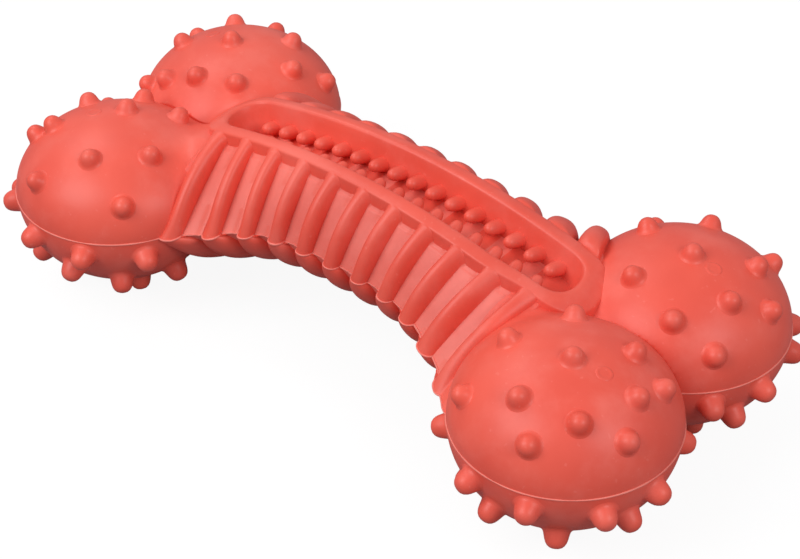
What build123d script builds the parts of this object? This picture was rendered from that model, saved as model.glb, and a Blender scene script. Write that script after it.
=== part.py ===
"""A moulded rubber chew bone: an arched, ribbed shaft with a pegged trough, and four knobs covered in nubs.

X runs along the bone, Z is up, and the origin is on the floor under the middle of the bone.
Front is -Y and right is +X. Every region of the moulding meets its neighbours face to face.
"""
from build123d import *
from math import asin, cos, radians, sin, sqrt
import os

# Knobs
bone_length = 160.0        # from knob to knob, without the nubs
knob_spread = 37.0         # between the centres of the two knobs at one end
knob_radius = 22.0
knob_rise = 16.8           # dome above the mould line
knob_drop = 19.5           # bowl below the mould line
brow_radius = 8.0          # rounding of a knob next to its mould line

# Nubs
nub_height = 3.4
nub_root_radius = 2.5
nub_tip_radius = 1.9
nub_round = 1.0
nub_sink = 1.6             # buried length that the knob's surface trims away

# Shaft
bow_rise = 5.8             # the shaft arches up: its mould line at the middle, above that of the knobs
bow_overlap = 1.6          # past the neck, where the arch comes down to the mould line of the knobs
waist_half_width = 16.6    # at the mould line, between the ribs
waist_flat_share = 0.138   # straight middle of the waist, as a share of the way to the knob centres
deck_height = 12.0         # top of the shaft above its mould line
keel_depth = 9.0           # bottom of the shaft below its mould line
keel_half_width = 6.6
neck_margin = 0.3          # the flanks stop this far short of where the neck arcs touch the knobs

# Trough
trough_setback = 15.0      # the trough ends this far short of the knob centres
trough_half_width = 6.6
trough_depth = 7.0         # below the deck
rail_width = 3.1
rim_end_width = 5.0        # the rim is thicker across its two round ends
rail_height = 2.7          # rim above the deck

# Pegs
peg_count = 16
peg_end_gap = 5.65         # last peg to the end of the trough
peg_drop = 2.6             # roots below the deck
peg_tilt = 20              # degrees, tips upwards
peg_root_share = 0.36      # peg radii as shares of the pitch
peg_tip_share = 0.21
peg_length = 6.3
peg_sink = 1.0             # buried length that the trough's wall trims away

# Ribs
rib_count = 11
rib_top_share = 0.973      # outermost rib on the rail, as a share of the way to the neck
rib_mould_share = 0.783    # the same along the edge of the waist
rib_keel_share = 0.813     # the same on the keel
rib_radius_share = 0.318   # of the pitch on the keel
rib_drop = 0.5             # rib tops below the top of the rail

overrun = 5.0              # cutting tools reach this far past what they cut
quarter_angle = 90

# Derived places
knob_x = bone_length / 2 - knob_radius
knob_y = knob_spread / 2
knob_z = knob_drop + nub_height
shaft_z = knob_z + bow_rise
trough_half_length = knob_x - trough_setback
trough_floor = deck_height - trough_depth
rail_half_width = trough_half_width + rail_width
rim_half_length = trough_half_length + rim_end_width
rail_top = deck_height + rail_height
tool_span = bone_length + knob_spread
tool_height = shaft_z + rail_top + overrun

# The neck arc leaves the waist's straight edge and runs tangent to the knob's mould line
waist_flat_half = waist_flat_share * knob_x
neck_run = knob_x - waist_flat_half
knob_setback = knob_y - waist_half_width
neck_radius = (neck_run**2 + knob_setback**2 - knob_radius**2) / (2 * (knob_radius + knob_setback))
neck_touch_share = neck_radius / (neck_radius + knob_radius)
neck_x = waist_flat_half + neck_run * neck_touch_share - neck_margin
neck_turn = asin((neck_x - waist_flat_half) / neck_radius)
bow_half_span = neck_x + bow_overlap
bow_radius = (bow_half_span**2 + bow_rise**2) / (2 * bow_rise)
station_shares = (-1, -0.8, -0.6, -0.4, -0.2, 0, 0.2, 0.4, 0.6, 0.8, 1)

# Pegs and ribs are spread over what carries them
peg_pitch = 2 * (trough_half_length - peg_end_gap) / (peg_count - 1)
peg_level = deck_height - peg_drop
peg_root_radius = peg_root_share * peg_pitch
peg_tip_radius = peg_tip_share * peg_pitch
rib_steps = (rib_count - 1) / 2
rib_pitch_top = rib_top_share * neck_x / rib_steps
rib_pitch_mould = rib_mould_share * (waist_flat_half + neck_turn * neck_radius) / rib_steps
rib_pitch_keel = rib_keel_share * neck_x / rib_steps
rib_radius = rib_radius_share * rib_pitch_keel

# Knobs by name: end (+1 right), side (-1 front), and which of the two lower nub patterns they carry
knobs = {
    "front_right": (1, -1, "a"),
    "back_right": (1, 1, "b"),
    "front_left": (-1, -1, "b"),
    "back_left": (-1, 1, "a"),
}

# Nub places in degrees: turn from the bone's outward axis to its outward side, then tilt up or down
upper_nub_angles = {
    "front_right": ((44, 82), (-42, 65), (-121, 65), (161, 65), (92, 58), (47, 53), (1, 55),
                    (-22, 44), (22, 38), (74, 38), (128, 37)),
    "back_right": ((-25, 85), (-110, 64), (170, 70), (98, 66), (31, 60), (-19, 58), (-63, 53),
                   (-39, 33), (5, 43), (70, 37), (138, 37)),
    "front_left": ((-115, 85), (-91, 68), (-129, 60), (-8, 71), (43, 63), (112, 62), (166, 61),
                   (-38, 37), (14, 39), (79, 38), (139, 34)),
    "back_left": ((-69, 87), (-16, 59), (44, 52), (119, 63), (170, 59), (-131, 63), (-91, 62), (-65, 49),
                  (-53, 33), (19, 34), (72, 37), (153, 39)),
}
lower_nub_angles = {
    "a": ((147, -15), (104, -13), (71, -13), (35, -15), (6, -13), (-38, -18), (93, -29), (57, -44),
          (19, -28), (130, -41), (-16, -39), (165, -43), (60, -68), (150, -68), (-120, -68), (-30, -68),
          (0, -90)),
    "b": ((45, -13), (28, -15), (-10, -13), (-39, -13), (81, -13), (114, -13), (148, -15), (-24, -29),
          (104, -29), (133, -39), (172, -43), (20, -41), (62, -41), (60, -68), (150, -68), (-120, -68),
          (-30, -68), (0, -90)),
}


def bow(x):
    """Height of the arched mould line over its middle, so zero or less."""
    return sqrt(bow_radius**2 - x**2) - bow_radius


def drum(level):
    """Everything under the arched surface that lies level above the shaft's mould line."""
    return Pos(0, 0, shaft_z - bow_radius) * Rot(90, 0, 0) * Cylinder(bow_radius + level, tool_span)


def waist(x):
    """Half width of the shaft at its mould line, between the ribs."""
    along_arc = max(abs(x) - waist_flat_half, 0)
    return waist_half_width + neck_radius - sqrt(neck_radius**2 - along_arc**2)


def slot_prism(half_length, half_width):
    """A stadium-ended column through the whole height of the toy."""
    return extrude(SlotOverall(2 * half_length, 2 * half_width), tool_height)


def crown_radius(depth):
    """Radius of a knob's round crown, which meets the brow above or below the mould line in a tangent."""
    return (knob_radius**2 + depth**2 - 2 * knob_radius * brow_radius) / (2 * (depth - brow_radius))


def half_knob(depth):
    """A dome on its mould plane: the profile is an oval of two tangent arcs, the brow and the crown."""
    crown = crown_radius(depth)
    brow_x = knob_radius - brow_radius
    meet = Vector(brow_x, crown - depth).normalized()
    rim = Vector(knob_radius, 0)
    joint = Vector(brow_x, 0) + meet * brow_radius
    top = Vector(0, depth)
    brow = RadiusArc(rim, joint, -brow_radius)
    cap = RadiusArc(joint, top, -crown)
    return revolve(Plane.XZ * make_face([Line((0, 0), rim), brow, cap, Line(top, (0, 0))]), Axis.Z)


def on_knob(end, side):
    """Location of a knob's centre on its mould plane."""
    return Pos(end * knob_x, side * knob_y, knob_z)


def own_side(side):
    """The half of space on one side of the crease between two knobs."""
    return Pos(0, side * tool_span / 2, 0) * Box(2 * tool_span, tool_span, 2 * tool_span)


def beyond_neck(end):
    """The space outside the neck plane at one end, where the flanks stop."""
    return Pos(end * (neck_x + tool_span / 2), 0, 0) * Box(tool_span, 2 * tool_span, 2 * tool_span)


def shaft_section(x):
    """Cross-section of the shaft: deck, two flanks above the mould line, two below it, and the keel."""
    mould = shaft_z + bow(x)
    half = [
        (rail_half_width, mould + deck_height + overrun),
        (rail_half_width, mould + deck_height),
        (waist(x), mould),
        (keel_half_width, mould - keel_depth),
    ]
    outline = half + [(-y, z) for y, z in reversed(half)]
    return make_face(Polyline([(x, y, z) for y, z in outline], close=True))


def flanked_body():
    """The shaft from neck to neck, with all four flanks, a flat keel and an arched deck."""
    return loft([shaft_section(share * neck_x) for share in station_shares]) & drum(deck_height)


def tongues():
    """The blocks that carry the rim's round ends into the knobs, above the knobs' mould plane."""
    above_mould = Pos(0, 0, knob_z + tool_span / 2) * Box(2 * tool_span, 2 * tool_span, tool_span)
    block = slot_prism(rim_half_length, rail_half_width) & above_mould & drum(deck_height)
    return block - drum(0)


def crotch_fill(end):
    """The blunt lower end of the shaft, which fills the corner between the two knobs."""
    run = rim_half_length - neck_x
    keel = shaft_z + bow(neck_x) - keel_depth
    block = Box(run, 2 * rail_half_width, shaft_z - keel, align=(Align.CENTER, Align.CENTER, Align.MIN))
    return Pos(end * (neck_x + run / 2), 0, keel) * block


def trough_rim():
    ring = slot_prism(rim_half_length, rail_half_width) - slot_prism(trough_half_length, trough_half_width)
    return (ring & drum(rail_top)) - drum(deck_height)


def peg_row(side):
    """Tapered pegs with round tips that slant up out of one wall of the trough, trimmed to that wall."""
    shank = peg_length - peg_tip_radius
    tip = CenterArc((0, shank), peg_tip_radius, start_angle=0, arc_size=quarter_angle)
    root = Polyline((0, -peg_sink), (peg_root_radius, -peg_sink), (peg_root_radius, 0), tip @ 0)
    peg = revolve(Plane.XZ * make_face([root, tip, Line(tip @ 1, (0, -peg_sink))]), Axis.Z)
    axis = Vector(0, -side * cos(radians(peg_tilt)), sin(radians(peg_tilt)))
    trough = slot_prism(trough_half_length, trough_half_width)
    row = []
    for i in range(peg_count):
        x = (i - (peg_count - 1) / 2) * peg_pitch
        seat = (x, side * trough_half_width, shaft_z + bow(x) + peg_level)
        row.append(Plane(origin=seat, z_dir=axis) * peg & trough)
    return row


def rib_line(step, side):
    """Where a rib crosses the rail, the mould line and the keel."""
    top_x = step * rib_pitch_top
    top = Vector(top_x, side * rail_half_width, shaft_z + bow(top_x) + deck_height)
    run = abs(step) * rib_pitch_mould
    bend = max(run - waist_flat_half, 0) / neck_radius
    mould_x = min(run, waist_flat_half) + neck_radius * sin(bend)
    mould_x = mould_x if step > 0 else -mould_x
    mould = Vector(mould_x, side * waist(mould_x), shaft_z + bow(mould_x))
    keel_x = step * rib_pitch_keel
    keel = Vector(keel_x, side * keel_half_width, shaft_z + bow(keel_x) - keel_depth)
    return top, mould, keel


def rib_bar(start, end):
    """A round bar along a flank, longer than the flank at both ends."""
    along = (end - start).normalized()
    bar = Cylinder(rib_radius, (end - start).length + 2 * overrun, align=(Align.CENTER, Align.CENTER, Align.MIN))
    return Plane(origin=start - along * overrun, z_dir=along) * bar


def ribs(side, body, upper):
    """The half-round ribs of one flank, trimmed to the shaft, the mould line and the rail or the keel."""
    steps = [i - rib_steps for i in range(rib_count)]
    inner_edge = rail_half_width if upper else keel_half_width
    outside = Pos(0, side * inner_edge, 0) * own_side(side)
    mould = drum(0)
    tops = drum(rail_top - rib_drop)
    row = []
    for step in steps:
        top, middle, keel = rib_line(step, side)
        if upper:
            bar = (rib_bar(top, middle) & outside & tops) - mould
        else:
            bar = rib_bar(middle, keel) & outside & mould
        row.append(bar - body)
    return row


def nub_blank():
    """One nub standing on Z with its buried end at the origin."""
    height = nub_sink + nub_height
    stud = Cone(nub_root_radius, nub_tip_radius, height, align=(Align.CENTER, Align.CENTER, Align.MIN))
    return fillet(stud.edges().sort_by(Axis.Z)[-1], nub_round)


def nubs(end, side, places, depth):
    """Separate nubs that stand square on the crown of one half of a knob."""
    up = 1 if places[0][1] > 0 else -1
    crown = crown_radius(depth)
    centre = Vector(0, 0, up * (depth - crown))
    ball = Pos(centre) * Rot(90, 0, 0) * Sphere(crown)
    blank = nub_blank()
    group = []
    for turn, tilt in places:
        flat = cos(radians(tilt))
        normal = Vector(end * flat * cos(radians(turn)), side * flat * sin(radians(turn)), sin(radians(tilt)))
        root = centre + normal * (crown - nub_sink)
        group.append(on_knob(end, side) * (Plane(origin=root, z_dir=normal) * blank - ball))
    return group


def build():
    """All regions of the toy by node name."""
    body = flanked_body()
    dome = half_knob(knob_rise)
    bowl = Rot(180, 0, 0) * half_knob(knob_drop)
    rim_block = slot_prism(rim_half_length, rail_half_width)
    trough = slot_prism(trough_half_length, trough_half_width) - drum(trough_floor)
    upper = (body - drum(0)) + tongues() - trough
    lower = (body + crotch_fill(-1) + crotch_fill(1)) & drum(0)
    nodes = {}
    for name, (end, side, pattern) in knobs.items():
        spot = on_knob(end, side)
        knob_upper = (spot * dome & own_side(side) & beyond_neck(end)) - rim_block
        knob_lower = spot * bowl & own_side(side)
        lower = lower - knob_upper - knob_lower
        nodes[f"knob_{name}_upper"] = knob_upper
        nodes[f"knob_{name}_lower"] = knob_lower
        nodes[f"nubs_{name}_upper"] = nubs(end, side, upper_nub_angles[name], knob_rise)
        nodes[f"nubs_{name}_lower"] = nubs(end, side, lower_nub_angles[pattern], knob_drop)
    nodes["shaft_upper"] = upper
    nodes["shaft_lower"] = lower
    nodes["trough_rim"] = trough_rim()
    for name, side in (("front", -1), ("back", 1)):
        nodes[f"peg_row_{name}"] = peg_row(side)
        nodes[f"ribs_{name}_upper"] = ribs(side, body, True)
        nodes[f"ribs_{name}_lower"] = ribs(side, body, False)
    return nodes


os.makedirs("parts", exist_ok=True)
for node, shape in build().items():
    pieces = shape if isinstance(shape, list) else [shape]
    solids = [solid for piece in pieces for solid in piece.solids()]
    export_step(solids[0] if len(solids) == 1 else Compound(children=solids), f"parts/{node}.step")
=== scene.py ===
"""Looks of a moulded coral rubber chew bone, dressed over its CAD regions. Lengths are in millimetres until
a piece is finished, and heights on the shaft are measured from its arched mould line."""
from math import asin, atan2, cos, pi, radians, sin, sqrt

import bmesh
import bpy
from mathutils import Matrix, Vector, noise


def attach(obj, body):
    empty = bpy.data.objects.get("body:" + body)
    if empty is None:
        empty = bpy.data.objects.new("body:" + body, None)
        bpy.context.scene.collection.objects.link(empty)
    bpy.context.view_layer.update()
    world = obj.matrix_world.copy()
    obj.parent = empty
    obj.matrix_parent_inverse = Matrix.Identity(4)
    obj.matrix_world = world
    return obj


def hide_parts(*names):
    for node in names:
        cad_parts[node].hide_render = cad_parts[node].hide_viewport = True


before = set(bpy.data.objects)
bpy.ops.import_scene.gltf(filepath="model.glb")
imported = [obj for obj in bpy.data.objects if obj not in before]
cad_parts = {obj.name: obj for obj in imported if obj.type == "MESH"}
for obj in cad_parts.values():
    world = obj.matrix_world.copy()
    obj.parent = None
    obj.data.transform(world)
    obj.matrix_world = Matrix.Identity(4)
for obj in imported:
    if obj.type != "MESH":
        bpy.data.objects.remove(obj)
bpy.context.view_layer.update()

MM = 0.001

# Knobs: their places, and the heights of their upper and lower halves
KNOB_X, KNOB_Y, KNOB_Z = 58.0, 18.5, 22.9
KNOB_R, DOME_RISE, FRONT_LEFT_RISE, BOWL_DROP = 22.0, 16.8, 15.4, 19.5
KNOB_TURNS, KNOB_RINGS = 144, 96

# Shaft: its arch, its waist, and its keel, which deepens from KEEL_FALL_FROM to FALL_TO along X
SHAFT_Z = 28.7
BOW_R, CREST_TILT = 156.2, 0.012
WAIST, WAIST_FLAT, NECK_R, NECK_REACH = 16.6, 8.0, 42.25, 0.98
PANEL_TOP = 12.3
MOULD_FALL, MOULD_FALL_FROM = 1.5, 18
KEEL_Y, KEEL_Z = 6.6, -9.0
KEEL_FALL_RIGHT, KEEL_FALL_LEFT, KEEL_FALL_FROM = 2.6, 3.8, 14
FALL_TO = 36

# Ribs: pitches at the rail, the mould line and the keel, half widths, and the shifts of their tops and feet
RIB_TOP_PITCH, RIB_MOULD_PITCH, RIB_KEEL_PITCH = 7.93, 7.15, 6.6
RIB_HALF, FAR_RIB_HALF, END_RIB = 1.75, 3.5, 1.25
WIDEST_RIB, WIDEST_END_RIB = 0.48, 0.49
RIB_FLARE, RIB_ROUND = 0.25, 2.4
RIB_KEEL_HEIGHT, RIB_FOOT_HEIGHT, END_RIB_BULGE = 1.6, 2.0, 1.5
LAST_RIB, FLANK_END = 5, 6.38
FAN_HELD, FAN_END_PITCH = 5.2, 1.2
TOP_SHIFT, FAR_TOP_SHIFT, MOULD_SHIFT = 1.47, 2.9, -0.25
LAST_FOOT_RUN, RIGHT_FOOT_SPREAD, LEFT_FOOT_SPREAD, LEFT_LAST_SPREAD = 1.9, 0.8, 1.3, 1.9
NEAR_BULGE_BEND, FAR_BULGE, FAR_BULGE_BEND, FAR_END_BULGE, KEEL_BULGE = 0.95, 1.4, 0.65, 1.0, 0.5
LEAN_BEND, KEEL_LEAN, KEEL_WIDEN = 1.2, 165, 6

# Where the ribs' shifts and bulges come in or fade, in rib places, and their flare, as shares of the flank
LAST_FOOT_SPAN, RIGHT_FOOT_SPAN, LEFT_FOOT_SPAN, LEFT_LAST_SPAN = (4, 5), (3.5, 5), (3.2, 5), (4.2, 5)
FAR_END_SPAN, KEEL_FADE, FLARE_SPAN = (3.6, 5), (5.3, 6.2), (-0.03, 0.06)

# Panels between the ribs: swelling, the low ledge on one side, and the skirt past the end ribs
PANEL_SWELL, PANEL_DIP, KEEL_SWELL = 0.4, 0.35, 2.0
PANEL_SHARES = (1.04, 1.10, 1.25, 1.50, 1.72, 1.76, 1.90, 1.96)
LEDGE_SHARE, LEDGE_HEIGHT = 1.74, 0.08
SKIRT_TOP, SKIRT_RIGHT_FOOT, SKIRT_LEFT_FOOT = 0.45, 0.5, 0.15
SKIRT_DOWN, SKIRT_FADE, DIP_SPAN = (0.25, 0.85), (5.7, 6.35), (0.05, 0.09)

# Mesh steps of the flanks: half a rib, a flank's end, rail to mould line, and across the middle
RIB_STEPS, END_STEPS, FLANK_ROWS, MIDDLE_ROWS = 9, 14, 44, 8
TUCK_ROWS, TUCK = 2, 36
MIDDLE_RIB_SHARE, KEEL_SAG = 0.25, 0.4
CLOSE_X_SHARE, CLOSE_Y_SHARE, CLOSE_GAP = 0.995, 0.97, 0.1

# Trough
TROUGH_FLOOR, TROUGH_SPREAD = 8.5, 0.02
FLOOR_HALF, FLOOR_LONG = 7.3, 46.5
RAIL_IN, RAIL_OUT, RAIL_TOP, RAIL_FALL = 5.85, 9.2, 15.2, 0.4
RAIL_FOOT, CREST_R = 3.0, 0.95
RAIL_TURN_IN, RAIL_TURN_FROM, RAIL_TURN_TO = 2.1, 29, 43
TROUGH_LONG, RIM_LONG, RIM_SHIFT = 43.3, 48.0, 2.4
RIM_SQUARE, RIM_END_DROP, RIM_DROP_FROM, RIM_EDGE_LEVEL = 0.72, 1.1, 0.8, 11.5
RIM_CUTS, RIM_STEPS = 60, 64
PEG_PITCH, PEG_LEVEL, PEG_COUNT, PEG_SHIFT, PEG_SEAT, PEG_STEPS = 4.86, 9.6, 16, 2.1, 6.1, 16


def bow(x):
    """Fall of the arched shaft from its middle."""
    return sqrt(BOW_R**2 - x**2) - BOW_R


def crest(x):
    """Lie of the rail and the rib tops, which sit a little higher at the left end."""
    return bow(x) - CREST_TILT * x


def mould_level(x):
    """Height of the shaft's mould line, which falls to that of the knobs at both ends."""
    return max(bow(x) - MOULD_FALL * smooth(MOULD_FALL_FROM, FALL_TO, abs(x)), KNOB_Z - SHAFT_Z)


def keel_level(x):
    """Height of the shaft's underside, which deepens towards the knobs, and more so at the left end."""
    fall = KEEL_FALL_RIGHT if x > 0 else KEEL_FALL_LEFT
    return bow(x) + KEEL_Z - fall * smooth(KEEL_FALL_FROM, FALL_TO, abs(x))


def rail_shift(x, side):
    """How far a rail stands out: the trough widens to the right, and the front rail turns in there."""
    turn_in = RAIL_TURN_IN * smooth(RAIL_TURN_FROM, RAIL_TURN_TO, x) if side < 0 else 0
    return TROUGH_SPREAD * x - turn_in


def waist(x):
    """Half width of the shaft at its mould line, between the ribs."""
    along = min(max(abs(x) - WAIST_FLAT, 0), NECK_R * NECK_REACH)
    return WAIST + NECK_R - sqrt(NECK_R**2 - along**2)


def smooth(lo, hi, x):
    """A soft step from 0 at lo to 1 at hi."""
    t = min(max((x - lo) / (hi - lo), 0), 1)
    return t * t * (3 - 2 * t)


def mix(a, b, t):
    return a + (b - a) * t


# Shader maths

class Value:
    """A shader socket that takes part in Python sums."""

    def __init__(self, shade, socket):
        self.shade, self.socket = shade, socket

    def math(self, operation, first, second):
        return self.shade.node("ShaderNodeMath", {"operation": operation}, {0: first, 1: second})

    def __add__(self, other):
        return self.math("ADD", self, other)

    __radd__ = __add__

    def __mul__(self, other):
        return self.math("MULTIPLY", self, other)

    __rmul__ = __mul__

    def __sub__(self, other):
        return self.math("SUBTRACT", self, other)

    def __rsub__(self, other):
        return self.math("SUBTRACT", other, self)


class Finish:
    """A node material that is written as expressions."""

    def __init__(self, name):
        self.material = bpy.data.materials.new(name)
        self.material.use_nodes = True
        self.tree = self.material.node_tree
        self.tree.nodes.clear()

    def node(self, kind, settings, inputs, output=0):
        made = self.tree.nodes.new(kind)
        for key, value in settings.items():
            setattr(made, key, value)
        for key, value in inputs.items():
            if isinstance(value, Value):
                self.tree.links.new(value.socket, made.inputs[key])
            else:
                made.inputs[key].default_value = value
        return Value(self, made.outputs[output])

    def noise(self, scale, detail=2.0, rough=0.5):
        where = self.node("ShaderNodeTexCoord", {}, {}, "Object")
        return self.node("ShaderNodeTexNoise", {}, {"Vector": where, "Scale": scale, "Detail": detail,
                                                    "Roughness": rough}, "Fac")

    def ramp(self, value, lo, hi):
        return self.node("ShaderNodeMapRange", {"interpolation_type": "SMOOTHSTEP"},
                         {"Value": value, "From Min": lo, "From Max": hi}, "Result")

    def blend(self, share, first, second):
        return self.node("ShaderNodeMix", {"data_type": "RGBA"}, {0: share, 6: first, 7: second}, 2)

    def finish(self, shader):
        out = self.tree.nodes.new("ShaderNodeOutputMaterial")
        self.tree.links.new(shader.socket, out.inputs["Surface"])
        return self.material


def coral_rubber(name, body, bloom, bloom_share, rough):
    """Moulded rubber: cloudy pigment, a dusty bloom, fine pores and a soft gloss."""
    f = Finish(name)
    clouds = f.noise(38.0, 3.0)
    dust = f.ramp(f.noise(95.0, 4.0, 0.6), 0.42, 0.75)
    specks = f.ramp(f.noise(900.0, 1.0), 0.70, 0.78)
    scuffs = f.ramp(f.noise(240.0, 2.0, 0.7), 0.60, 0.72)
    deep = tuple(c * s for c, s in zip(body[:3], (0.90, 0.80, 0.80))) + (1,)
    colour = f.blend(f.ramp(clouds, 0.35, 0.65), deep, body)
    colour = f.blend(dust * bloom_share, colour, bloom)
    colour = f.blend(specks * 0.25, colour, bloom)
    gloss = rough + 0.10 * dust + 0.08 * scuffs
    pores = f.noise(1600.0, 2.0, 0.6)
    waves = f.noise(120.0, 2.0)
    height = pores * 0.25 + waves * 0.75
    bump = f.node("ShaderNodeBump", {}, {"Strength": 0.16, "Distance": 0.0004, "Height": height}, "Normal")
    return f.finish(f.node("ShaderNodeBsdfPrincipled", {}, {
        "Base Color": colour, "Roughness": gloss, "Normal": bump, "Specular IOR Level": 0.42}))


CORAL = (0.862, 0.112, 0.072, 1)
BLOOM = (0.900, 0.225, 0.180, 1)
# The panels' colour is paler and brighter than the body's. Part of that is their dusty bloom, and part is
# painted light standing in for light the recessed panels lack.
PANEL_BLOOM_AND_LIGHT = (0.880, 0.190, 0.145, 1)
FLASH = (0.900, 0.240, 0.190, 1)
rubber = coral_rubber("coral_rubber_moulded", CORAL, BLOOM, 0.30, 0.40)
panel_rubber_bloom_and_light = coral_rubber("coral_rubber_panel_bloom_and_light", PANEL_BLOOM_AND_LIGHT, BLOOM, 0.8, 0.46)
flash_rubber = coral_rubber("coral_rubber_flash", FLASH, BLOOM, 0.30, 0.45)


# Pieces

def finish_piece(bm, name, materials, nodes, crease):
    """Turns a bmesh in millimetres into a smooth piece that rides on the body in place of its CAD nodes."""
    bmesh.ops.transform(bm, matrix=Matrix.Scale(MM, 4), verts=bm.verts)
    bmesh.ops.remove_doubles(bm, verts=bm.verts, dist=1e-7)
    bmesh.ops.recalc_face_normals(bm, faces=bm.faces)
    mesh = bpy.data.meshes.new(name)
    bm.to_mesh(mesh)
    bm.free()
    mesh.shade_smooth()
    mesh.set_sharp_from_angle(angle=radians(crease))
    piece = bpy.data.objects.new(name, mesh)
    bpy.context.collection.objects.link(piece)
    for material in materials:
        mesh.materials.append(material)
    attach(piece, "root")
    if nodes:
        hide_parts(*nodes)


def lathe(bm, profile, place, steps):
    """Spins a profile of (radius, height) round Z and puts it in place."""
    verts = [bm.verts.new((r, 0, h)) for r, h in profile]
    edges = [bm.edges.new(pair) for pair in zip(verts, verts[1:])]
    made = bmesh.ops.spin(bm, geom=verts + edges, cent=(0, 0, 0), axis=(0, 0, 1), angle=2 * pi, steps=steps,
                          use_merge=True)
    grown = set(verts) | {item for item in made["geom_last"] if isinstance(item, bmesh.types.BMVert)}
    todo = list(grown)
    while todo:
        for edge in todo.pop().link_edges:
            for vert in edge.verts:
                if vert not in grown:
                    grown.add(vert)
                    todo.append(vert)
    grown = [vert for vert in grown if vert.is_valid]
    bmesh.ops.transform(bm, matrix=place, verts=grown)
    return grown


def axis_frame(origin, z_dir, x_dir):
    """A place whose Z runs along z_dir and whose X is near x_dir."""
    z = z_dir.normalized()
    y = z.cross(x_dir).normalized()
    x = y.cross(z)
    turn = Matrix((x, y, z)).transposed().to_4x4()
    return Matrix.Translation(origin) @ turn


# Ribbed shaft

def mould_point(u, side):
    """The waist's edge at rib place u: the front's last right rib stands close to its knob."""
    run = abs(u) * RIB_MOULD_PITCH + (LAST_FOOT_RUN * smooth(*LAST_FOOT_SPAN, u) if side < 0 else 0)
    bend = max(run - WAIST_FLAT, 0) / NECK_R
    x = min(run, WAIST_FLAT) + NECK_R * sin(bend)
    spread = MOULD_SHIFT + RIGHT_FOOT_SPREAD * smooth(*RIGHT_FOOT_SPAN, u)
    spread -= LEFT_FOOT_SPREAD * smooth(*LEFT_FOOT_SPAN, -u)
    spread -= LEFT_LAST_SPREAD * smooth(*LEFT_LAST_SPAN, -u)
    return Vector(((x if u > 0 else -x) + spread, waist(x)))


def flank_columns():
    """Places across the ribs as (rib, share): -1 to 1 on a rib, and 1 to 2 on the panel after it."""
    over = [sin(pi / 2 * i / RIB_STEPS) for i in range(-RIB_STEPS, RIB_STEPS + 1)]
    columns = [(-LAST_RIB - 1, 1 + i / END_STEPS) for i in range(END_STEPS)]
    for rib in range(-LAST_RIB, LAST_RIB + 1):
        columns += [(rib, share) for share in over]
        columns += [(rib, share) for share in PANEL_SHARES] if rib < LAST_RIB else []
    return columns + [(LAST_RIB, 1 + i / END_STEPS) for i in range(1, END_STEPS + 1)]


def rib_place(rib, share, half, end_half):
    """Rib place u of a column, for half widths of the ribs and the end ribs as shares of their pitch."""
    if share <= 1:
        return rib + share * (end_half if abs(rib) == LAST_RIB else half)
    first = rib + (end_half if abs(rib) == LAST_RIB else half) if rib >= -LAST_RIB else -FLANK_END
    last = rib + 1 - (end_half if abs(rib + 1) == LAST_RIB else half) if rib < LAST_RIB else FLANK_END
    return mix(first, last, share - 1)


def rib_height(rib, share, u, v):
    """Height of the ribbed skin over the panels: round ribs, and a low ledge on one side of each panel."""
    skirt = 0
    if abs(u) > LAST_RIB:
        foot = SKIRT_RIGHT_FOOT if u > 0 else SKIRT_LEFT_FOOT
        skirt = mix(SKIRT_TOP, foot, smooth(*SKIRT_DOWN, v)) * (1 - smooth(*SKIRT_FADE, abs(u)))
    if share <= 1:
        return max(sqrt(max(1 - abs(share) ** RIB_ROUND, 0)), skirt)
    return skirt if abs(u) > LAST_RIB else LEDGE_HEIGHT if share > LEDGE_SHARE else 0


def fan(u, pitch):
    """Place of rib u along the rail or the keel, held back next to the knobs."""
    held = min(max(u, -FAN_HELD), FAN_HELD)
    return pitch * held + FAN_END_PITCH * (u - held)


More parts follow.
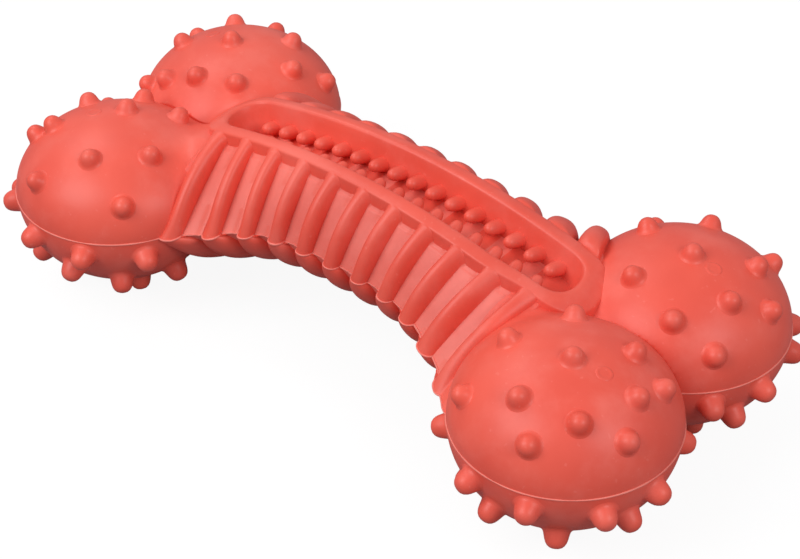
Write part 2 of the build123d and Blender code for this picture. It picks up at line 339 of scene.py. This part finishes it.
def flank_point(rib, share, v, side, upper):
    """A point of the ribbed skin: v runs from the rail or the keel at 0 to the mould line at 1."""
    down = max(v, 0)
    pitch = mix(RIB_TOP_PITCH if upper else RIB_KEEL_PITCH, RIB_MOULD_PITCH, down)
    half = RIB_HALF if side < 0 else FAR_RIB_HALF
    if upper:
        half *= 1 + RIB_FLARE * (1 - smooth(*FLARE_SPAN, v))
    else:
        half = mix(WIDEST_END_RIB * pitch, half, down ** KEEL_WIDEN)
    u = rib_place(rib, share, min(half / pitch, WIDEST_RIB), min(half * END_RIB / pitch, WIDEST_END_RIB))
    edge = mould_point(u, side)
    ahead = mould_point(u + 0.01, side) - mould_point(u - 0.01, side)
    out = Vector((-ahead.y, ahead.x)).normalized()
    low = Vector((edge.x, edge.y, mould_level(edge.x)))
    if upper:
        x = fan(u, RIB_TOP_PITCH) + (TOP_SHIFT if side < 0 else FAR_TOP_SHIFT)
        top = Vector((x, RAIL_OUT + rail_shift(x, side), crest(x) + PANEL_TOP))
        tilt = radians(90 * down ** LEAN_BEND)
        if side < 0:
            bulge = sin(pi * down ** NEAR_BULGE_BEND)
        else:
            bulge = (FAR_BULGE + FAR_END_BULGE * smooth(*FAR_END_SPAN, u)) * sin(pi * down ** FAR_BULGE_BEND)
        bulge *= END_RIB_BULGE if abs(rib) == LAST_RIB else 1
        height = mix(RAIL_TOP - RAIL_FALL - PANEL_TOP, RIB_FOOT_HEIGHT, down) + bulge
        swell = PANEL_SWELL * sin(pi * down)
        if 1 < share and abs(u) < LAST_RIB:
            swell -= PANEL_DIP * (1 - smooth(*DIP_SPAN, v))
    else:
        x = fan(u, RIB_KEEL_PITCH)
        top = Vector((x, KEEL_Y, keel_level(x)))
        tilt = radians(mix(KEEL_LEAN, 90, down))
        height = mix(RIB_KEEL_HEIGHT, RIB_FOOT_HEIGHT, down) + KEEL_BULGE * sin(pi * down)
        swell = KEEL_SWELL * sin(pi * down) * (1 - smooth(*KEEL_FADE, abs(u)))
    base = top.lerp(low, down) + Vector((0, min(v, 0), 0))
    flat = Vector((0, 1)).lerp(out, down).normalized()
    away = Vector((flat.x * sin(tilt), flat.y * sin(tilt), cos(tilt)))
    point = base + away * (height * rib_height(rib, share, u, v) + swell)
    return Vector((point.x, side * point.y, point.z + SHAFT_Z))


def ribbed_half(upper):
    """One half of the shaft, from mould line to mould line, closed at the mould line."""
    columns = flank_columns()
    last, total = len(columns) - 1, 2 * FLANK_ROWS + MIDDLE_ROWS
    bm = bmesh.new()
    bmesh.ops.create_grid(bm, x_segments=last, y_segments=total, size=0.5)
    for face in bm.faces:
        rib, share = columns[round((max(vert.co.x for vert in face.verts) + 0.5) * last)]
        # Panel faces take the panel rubber, whose paler colour is partly dusty bloom and partly painted
        # light.
        face.material_index = 1 if share > 1 and -LAST_RIB <= rib < LAST_RIB else 0
    for vert in bm.verts:
        column = columns[round((vert.co.x + 0.5) * last)]
        row = round((vert.co.y + 0.5) * total)
        side = -1 if row <= total / 2 else 1
        place = min(row, total - row)
        if place <= FLANK_ROWS:
            v = 1 - place / (FLANK_ROWS - TUCK_ROWS)
            if v < 0:
                v *= TUCK if upper else 0
            vert.co = flank_point(*column, v, side, upper)
        else:
            u = rib_place(*column, MIDDLE_RIB_SHARE, MIDDLE_RIB_SHARE)
            across = (row - total / 2) / (MIDDLE_ROWS / 2)
            x = u * FLOOR_LONG / FLANK_END + TOP_SHIFT if upper else fan(u, RIB_KEEL_PITCH)
            wide = FLOOR_HALF if upper else KEEL_Y
            level = bow(x) + TROUGH_FLOOR if upper else keel_level(x) - KEEL_SAG
            vert.co = (x, across * wide, SHAFT_Z + level)
    made = bmesh.ops.extrude_face_region(bm, geom=bm.faces[:], use_keep_orig=True)
    for vert in made["geom"]:
        if isinstance(vert, bmesh.types.BMVert):
            x = vert.co.x * CLOSE_X_SHARE
            gap = CLOSE_GAP if upper else -CLOSE_GAP
            vert.co = (x, vert.co.y * CLOSE_Y_SHARE, SHAFT_Z + mould_level(x) + gap)
    return bm


bm = ribbed_half(True)
finish_piece(bm, "ribbed_shaft_upper", [rubber, panel_rubber_bloom_and_light],
             ["shaft_upper", "ribs_front_upper", "ribs_back_upper"], 50)

# The shaft's underside runs into the knobs on a rounded web at each end
WEB_SIZE, WEB_X, WEB_DROP, WEB_ROUND = (16, 17, 11), 41, 10, 2.5
bm = ribbed_half(False)
for end in (-1, 1):
    web = bmesh.ops.create_cube(bm, size=1)["verts"]
    bmesh.ops.scale(bm, vec=WEB_SIZE, verts=web)
    bmesh.ops.translate(bm, vec=(end * WEB_X, 0, SHAFT_Z - WEB_DROP), verts=web)
    edges = list({edge for vert in web for edge in vert.link_edges})
    bmesh.ops.bevel(bm, geom=edges, offset=WEB_ROUND, offset_type="OFFSET", segments=4, profile=0.5,
                    affect="EDGES", material=-1)
finish_piece(bm, "ribbed_shaft_lower", [rubber, panel_rubber_bloom_and_light],
             ["shaft_lower", "ribs_front_lower", "ribs_back_lower"], 50)


# Rim and pegs

def rim_reach(radius):
    """Half length of the ring at a radius: its ends are thicker than its sides."""
    return mix(TROUGH_LONG, RIM_LONG, (radius - RAIL_IN) / (RAIL_OUT - RAIL_IN))


def stretched_ring(bm, profile, steps):
    """A ring with straight sides: a spun profile is pulled apart along X and bent to the arch."""
    lathe(bm, profile, Matrix.Rotation(pi / steps, 4, "Z"), steps)
    for vert in bm.verts:
        radius = vert.co.xy.length
        turn = abs(vert.co.x) / radius
        reach = rim_reach(radius) - radius + radius * turn ** RIM_SQUARE
        vert.co.x = reach if vert.co.x > 0 else -reach
        if vert.co.z > RIM_EDGE_LEVEL:
            vert.co.z -= RIM_END_DROP * turn ** 2 * smooth(RAIL_IN + RIM_DROP_FROM, RAIL_OUT, radius)
    long_edges = [edge for edge in bm.edges if edge.calc_length() > RIM_LONG / 2]
    bmesh.ops.subdivide_edges(bm, edges=long_edges, cuts=RIM_CUTS, use_grid_fill=True)
    for vert in bm.verts:
        x, y = vert.co.x + RIM_SHIFT, vert.co.y
        vert.co.y += y / RAIL_OUT * rail_shift(x, y)
        vert.co.x = x
        vert.co.z += SHAFT_Z + crest(x)


def rim_profile():
    """A rounded ridge: its inner wall leans in to the floor, and its crest falls a little outwards."""
    wall = [(RAIL_IN - 1.7, RAIL_FOOT), (RAIL_IN - 1.6, 7.4), (RAIL_IN - 1.4, 9.0), (RAIL_IN - 0.9, 11.0),
            (RAIL_IN - 0.2, 13.2)]
    crest_in = RAIL_IN + 0.97
    for i in range(1, 7):
        a = radians(170 - 80 * i / 6)
        wall.append((crest_in + CREST_R * cos(a), RAIL_TOP - CREST_R + CREST_R * sin(a)))
    edge = RAIL_TOP - RAIL_FALL
    slope = [(mix(crest_in, RAIL_OUT - 0.4, t), RAIL_TOP - RAIL_FALL * t * t * 0.9)
             for t in (0.25, 0.5, 0.75, 1)]
    foot = [(RAIL_OUT - 0.18, edge - 0.08), (RAIL_OUT - 0.04, edge - 0.25), (RAIL_OUT, edge - 0.5),
            (RAIL_OUT + 0.03, 11.0), (RAIL_OUT + 0.05, RAIL_FOOT)]
    return wall + slope + foot + wall[:1]


bm = bmesh.new()
stretched_ring(bm, rim_profile(), RIM_STEPS)
finish_piece(bm, "trough_rail", [rubber], ["trough_rim"], 60)

# A peg as (radius, height) from its foot in the wall to its tip
PEG_PROFILE = [(2.1, -0.9), (1.85, -0.2), (1.66, 0.6), (1.56, 1.4), (1.50, 2.2), (1.44, 3.0), (1.36, 3.8),
               (1.26, 4.4), (1.08, 4.9), (0.80, 5.26), (0.42, 5.46), (0.0, 5.52)]
PEG_TILT = radians(20)
for name, side in (("front", -1), ("back", 1)):
    bm = bmesh.new()
    for i in range(PEG_COUNT):
        x = (i - (PEG_COUNT - 1) / 2) * PEG_PITCH + PEG_SHIFT
        seat = Vector((x, side * PEG_SEAT, SHAFT_Z + bow(x) + PEG_LEVEL))
        inward = Vector((0, -side * cos(PEG_TILT), sin(PEG_TILT)))
        lathe(bm, PEG_PROFILE, axis_frame(seat, inward, Vector((1, 0, 0))), PEG_STEPS)
    finish_piece(bm, f"pegs_{name}", [rubber], [f"peg_row_{name}"], 80)


# Knobs: how the domes' skin is tucked under the rim and drawn up to the shaft's shoulder
UNDER_RIM, UNDER_FLOOR = 1.2, 1.5
RIGHT_NECK_SPREAD, LEFT_NECK_SPREAD = 0.55, -3.45
SHOULDER_BULGE, SHOULDER_LIFT, SHOULDER_SOFT = 1.15, 0.55, 2.6
SHOULDER_FROM, SHOULDER_TO = 44, 56


def trough_distance(x, y):
    """Distance of a plan point from the trough's spine, less than the rail's half width inside the rim."""
    spine = RIM_LONG - RAIL_OUT
    return Vector((max(abs(x - RIM_SHIFT) - spine, 0), y / (1 + rail_shift(x, y) / RAIL_OUT))).length


def shoulder(x, y):
    """Height of the flank carried on past the last rib, which a dome's skin is drawn up to."""
    spread = RIGHT_NECK_SPREAD if x > 0 else LEFT_NECK_SPREAD
    across = max(abs(y) - RAIL_OUT, 0) / (waist(x - spread) - RAIL_OUT)
    over = SHOULDER_BULGE * sin(pi * min(across, 1)) + SHOULDER_LIFT * max(1 - across, 0)
    return SHAFT_Z + mix(crest(x) + PANEL_TOP, mould_level(x), across) + over


def draw_up(low, high, soft):
    """The larger of two heights, rounded where they cross."""
    near = max(soft - abs(low - high), 0) / soft
    return max(low, high) + near * near * soft / 4


def knob_half(end, side, depth, up):
    """Half an egg on the mould plane, cut at the crease and pressed down under the rim and the trough."""
    bm = bmesh.new()
    bmesh.ops.create_uvsphere(bm, u_segments=KNOB_TURNS, v_segments=KNOB_RINGS, radius=1)
    bmesh.ops.bisect_plane(bm, geom=bm.verts[:] + bm.edges[:] + bm.faces[:], plane_co=(0, 0, 0),
                           plane_no=(0, 0, -up), clear_outer=True)
    bmesh.ops.holes_fill(bm, edges=[edge for edge in bm.edges if edge.is_boundary])
    bmesh.ops.scale(bm, vec=(KNOB_R, KNOB_R, depth), verts=bm.verts)
    bmesh.ops.translate(bm, vec=(end * KNOB_X, side * KNOB_Y, KNOB_Z), verts=bm.verts)
    bmesh.ops.bisect_plane(bm, geom=bm.verts[:] + bm.edges[:] + bm.faces[:], plane_co=(0, 0, 0),
                           plane_no=(0, -side, 0), clear_outer=True)
    bmesh.ops.holes_fill(bm, edges=[edge for edge in bm.edges if edge.is_boundary])
    if up > 0:
        for vert in bm.verts:
            x, y, z = vert.co
            if trough_distance(x, y) < RAIL_OUT - UNDER_RIM:
                vert.co.z = min(z, max(SHAFT_Z + bow(x) + TROUGH_FLOOR - UNDER_FLOOR, KNOB_Z))
            elif z > KNOB_Z + 0.01 and abs(x) < SHOULDER_TO:
                drawn = draw_up(z, shoulder(x, y), min(z - KNOB_Z, SHOULDER_SOFT))
                vert.co.z = mix(drawn, z, smooth(SHOULDER_FROM, SHOULDER_TO, abs(x)))
    return bm


# Nub places on each knob in degrees: turn from the outward X axis to the outward side, then latitude
UPPER_NUBS = {
    "front_right": ((165, 58), (43, 82), (-46, 57), (130, 29), (94, 52), (-2, 48), (-25, 38), (47, 46),
                    (75, 31), (20, 31), (-121, 59)),
    "back_right": ((161, 59), (103, 47), (-8, 85), (-113, 59), (37, 51), (60, 29), (-17, 52), (9, 34),
                   (-63, 45), (-38, 25), (138, 24)),
    "front_left": ((-20, 50), (-70, 76), (-68, 50), (-113, 51), (26, 36), (26, 51), (108, 59), (171, 57),
                   (75, 31), (138, 29), (-38, 20)),
    "back_left": ((44, 45), (-16, 52), (-12, 86), (119, 56), (166, 53), (149, 30), (-61, 42), (-87, 56),
                  (-131, 57), (-47, 27), (19, 27), (72, 30)),
}
LOWER_A = ((147, -13), (104, -10), (71, -10), (35, -13), (6, -10), (-38, -16), (93, -26), (57, -41),
           (19, -25), (130, -38), (-16, -36), (165, -40), (60, -65), (150, -65), (-120, -65),
           (-30, -65), (0, -90))
LOWER_B = ((45, -9), (28, -13), (-10, -9), (-39, -10), (81, -9), (114, -10), (148, -12), (-24, -24),
           (104, -26), (133, -36), (172, -40), (20, -38), (62, -38), (60, -65), (150, -65),
           (-120, -65), (-30, -65), (0, -90))
KNOBS = {"front_right": (1, -1, LOWER_A), "back_right": (1, 1, LOWER_B), "front_left": (-1, -1, LOWER_B),
         "back_left": (-1, 1, LOWER_A)}
# Studs as (radius, height) from the skirt under the knob's skin to the tip
NUB_PROFILE = [(3.5, -0.30), (3.1, -0.02), (2.85, 0.08), (2.62, 0.26), (2.48, 0.60), (2.34, 1.15),
               (2.18, 1.75), (1.96, 2.30), (1.62, 2.80), (1.16, 3.16), (0.60, 3.35), (0.0, 3.40)]
UPPER_NUB_PROFILE = [(3.2, -0.40), (2.75, -0.04), (2.42, 0.14), (2.20, 0.42), (2.02, 0.86), (1.80, 1.36),
                     (1.50, 1.82), (1.12, 2.18), (0.66, 2.40), (0.30, 2.47), (0.0, 2.48)]
GATE_PROFILE = [(1.9, -0.30), (1.7, 0.0), (1.5, 0.09), (1.25, 0.10), (1.05, 0.02), (0.60, 0.03), (0.0, 0.04)]
NUB_STEPS, GATE_STEPS, FOOT_BEND = 22, 16, 2.5
GATES = ((1, -1, DOME_RISE, 5, 68), (1, 1, DOME_RISE, -3, 72), (-1, 1, DOME_RISE, 5, 68),
         (-1, -1, FRONT_LEFT_RISE, -3, 72))


def stand_on_knob(bm, profile, end, side, depth, turn, latitude, steps=NUB_STEPS):
    """Stands a lathed stud on the egg-shaped knob, with its foot bent to the curve of the surface."""
    turn, latitude = radians(turn), radians(latitude)
    flat, rise = cos(latitude), sin(latitude)
    spoke = Vector((end * cos(turn), side * sin(turn), 0))
    foot = spoke * KNOB_R * flat + Vector((0, 0, depth * rise))
    normal = (spoke * flat / KNOB_R + Vector((0, 0, rise / depth))).normalized()
    stretch = sqrt((KNOB_R * rise) ** 2 + (depth * flat) ** 2)
    along_radius = stretch**3 / (KNOB_R * depth)
    across_radius = KNOB_R * stretch / depth
    down = (-spoke * rise * KNOB_R + Vector((0, 0, depth * flat))).normalized()
    verts = lathe(bm, profile, Matrix.Identity(4), steps)
    for vert in verts:
        x, y, h = vert.co
        vert.co.z -= (x * x / along_radius + y * y / across_radius) / 2 * max(1 - max(h, 0) / FOOT_BEND, 0)
    centre = Vector((end * KNOB_X, side * KNOB_Y, KNOB_Z))
    bmesh.ops.transform(bm, matrix=axis_frame(centre + foot, normal, down), verts=verts)


for name, (end, side, lower_nubs) in KNOBS.items():
    rise = FRONT_LEFT_RISE if name == "front_left" else DOME_RISE
    finish_piece(knob_half(end, side, rise, 1), f"dome_{name}", [rubber], [f"knob_{name}_upper"], 40)
    finish_piece(knob_half(end, side, BOWL_DROP, -1), f"bowl_{name}", [rubber], [f"knob_{name}_lower"], 40)
    bm = bmesh.new()
    for turn, latitude in UPPER_NUBS[name]:
        stand_on_knob(bm, UPPER_NUB_PROFILE, end, side, rise, turn, latitude)
    finish_piece(bm, f"studs_{name}_upper", [rubber], [f"nubs_{name}_upper"], 80)
    bm = bmesh.new()
    for turn, latitude in lower_nubs:
        stand_on_knob(bm, NUB_PROFILE, end, side, BOWL_DROP, turn, latitude)
    finish_piece(bm, f"studs_{name}_lower", [rubber], [f"nubs_{name}_lower"], 80)

bm = bmesh.new()
for end, side, rise, turn, latitude in GATES:
    stand_on_knob(bm, GATE_PROFILE, end, side, rise, turn, latitude, steps=GATE_STEPS)
finish_piece(bm, "gate_marks", [rubber], [], 80)


# Mould line
FLASH_R, ARC_STEPS = 0.24, 70
FLASH_THICK_SHARE, FLASH_UNEVEN_SHARE, FLASH_LUMPS = 0.8, 0.5, 0.35


def flash_line():
    """The thin bead of flash along the mould line, once round the toy."""
    path, edges = [], {}
    crease = asin(KNOB_Y / KNOB_R)
    for side in (-1, 1):
        edge = [flank_point(*column, 1, side, True) for column in flank_columns()]
        edges[side] = [p for p in edge if Vector((abs(p.x) - KNOB_X, abs(p.y) - KNOB_Y)).length > KNOB_R]
    for end, side in ((1, -1), (1, 1), (-1, 1), (-1, -1)):
        last = edges[side][-1 if end > 0 else 0]
        touch = atan2(abs(last.y) - KNOB_Y, KNOB_X - abs(last.x))
        arc = [mix(pi - touch, -crease, i / ARC_STEPS) for i in range(ARC_STEPS + 1)]
        if end * side > 0:
            arc.reverse()
        for a in arc:
            path.append(Vector((end * (KNOB_X + KNOB_R * cos(a)), side * (KNOB_Y + KNOB_R * sin(a)), KNOB_Z)))
        if (end, side) in ((1, 1), (-1, -1)):
            path += edges[side][::-end]
    return path


def bead(name, path, radius):
    """A closed round bead along a path, a little uneven in its thickness."""
    line = bpy.data.curves.new(name, "CURVE")
    line.dimensions = "3D"
    line.bevel_depth = radius * MM
    line.bevel_resolution = 2
    spline = line.splines.new("POLY")
    spline.points.add(len(path) - 1)
    for i, (point, where) in enumerate(zip(spline.points, path)):
        point.co = (*(where * MM), 1)
        point.radius = FLASH_THICK_SHARE + FLASH_UNEVEN_SHARE * noise.noise(where * FLASH_LUMPS)
    spline.use_cyclic_u = True
    holder = bpy.data.objects.new(name, line)
    bpy.context.collection.objects.link(holder)
    bpy.context.view_layer.update()
    mesh = bpy.data.meshes.new_from_object(holder.evaluated_get(bpy.context.evaluated_depsgraph_get()))
    bpy.data.objects.remove(holder)
    bpy.data.curves.remove(line)
    bm = bmesh.new()
    bm.from_mesh(mesh)
    bpy.data.meshes.remove(mesh)
    bmesh.ops.transform(bm, matrix=Matrix.Scale(1 / MM, 4), verts=bm.verts)
    finish_piece(bm, name, [flash_rubber], [], 80)


bead("mould_flash", flash_line(), FLASH_R)


# Stage, lights and camera, in metres and watts
FLOOR_HALF_M = 4
ROOM_FILL = 0.46
PHOTO_FOCUS, PHOTO_WIDTH, FILM_WIDTH = 2112.0, 800.0, 36.0
EYE_TARGET, EYE_DISTANCE = (13.23, -12.15, 28.7), 0.411
EYE_AZIMUTH, EYE_ELEVATION = 39.7, 38.2


def pale_floor():
    """Near white to the camera, with the toy's shadow on it, and a grey cloth to the toy."""
    f = Finish("pale_floor")
    path = f.node("ShaderNodeLightPath", {}, {}, "Is Camera Ray")
    cloth = f.node("ShaderNodeBsdfDiffuse", {}, {"Color": (0.24, 0.23, 0.25, 1)})
    paper = f.node("ShaderNodeBsdfDiffuse", {}, {"Color": (0.10, 0.10, 0.10, 1)})
    glow = f.node("ShaderNodeEmission", {}, {"Color": (0.92, 0.92, 0.92, 1), "Strength": 1.0})
    seen = f.node("ShaderNodeAddShader", {}, {0: paper, 1: glow})
    return f.finish(f.node("ShaderNodeMixShader", {}, {0: path, 1: cloth, 2: seen}))


bm = bmesh.new()
bmesh.ops.create_grid(bm, x_segments=2, y_segments=2, size=FLOOR_HALF_M)
mesh = bpy.data.meshes.new("floor")
bm.to_mesh(mesh)
bm.free()
mesh.materials.append(pale_floor())
floor_piece = bpy.data.objects.new("floor", mesh)
bpy.context.collection.objects.link(floor_piece)

world = bpy.data.worlds.new("studio")
bpy.context.scene.world = world
world.use_nodes = True
world.node_tree.nodes.clear()
room = world.node_tree
path = room.nodes.new("ShaderNodeLightPath")
fill = room.nodes.new("ShaderNodeBackground")
fill.inputs["Color"].default_value = (0.95, 0.97, 1.0, 1)
fill.inputs["Strength"].default_value = ROOM_FILL
white = room.nodes.new("ShaderNodeBackground")
white.inputs["Color"].default_value = (1, 1, 1, 1)
white.inputs["Strength"].default_value = 1.0
pick = room.nodes.new("ShaderNodeMixShader")
out = room.nodes.new("ShaderNodeOutputWorld")
room.links.new(path.outputs["Is Camera Ray"], pick.inputs[0])
room.links.new(fill.outputs[0], pick.inputs[1])
room.links.new(white.outputs[0], pick.inputs[2])
room.links.new(pick.outputs[0], out.inputs["Surface"])


def softbox(name, place, target, size, power):
    """A rectangular lamp that looks at a target."""
    lamp = bpy.data.lights.new(name, "AREA")
    lamp.shape = "RECTANGLE"
    lamp.size, lamp.size_y = size
    lamp.energy = power
    box = bpy.data.objects.new(name, lamp)
    box.location = place
    box.rotation_euler = (Vector(place) - Vector(target)).to_track_quat("Z", "Y").to_euler()
    bpy.context.collection.objects.link(box)


middle = (0.0, 0.0, 0.02)
softbox("softbox_left", (-0.46, 0.06, 0.60), middle, (0.30, 0.30), 0.95)
softbox("softbox_right", (0.60, -0.06, 0.50), middle, (0.32, 0.32), 1.6)
softbox("softbox_front", (-0.26, -0.62, 0.70), middle, (0.60, 0.55), 4.9)

eye = bpy.data.cameras.new("camera")
eye.sensor_fit = "HORIZONTAL"
eye.sensor_width = FILM_WIDTH
eye.lens = PHOTO_FOCUS * FILM_WIDTH / PHOTO_WIDTH
eye.clip_start = 0.01
azimuth, elevation = radians(EYE_AZIMUTH), radians(EYE_ELEVATION)
back = Vector((sin(azimuth) * cos(elevation), -cos(azimuth) * cos(elevation), sin(elevation)))
camera = bpy.data.objects.new("camera", eye)
camera.location = Vector(EYE_TARGET) * MM + back * EYE_DISTANCE
camera.rotation_euler = back.to_track_quat("Z", "Y").to_euler()
bpy.context.collection.objects.link(camera)
bpy.context.scene.camera = camera
bpy.context.scene.view_settings.view_transform = "Standard"
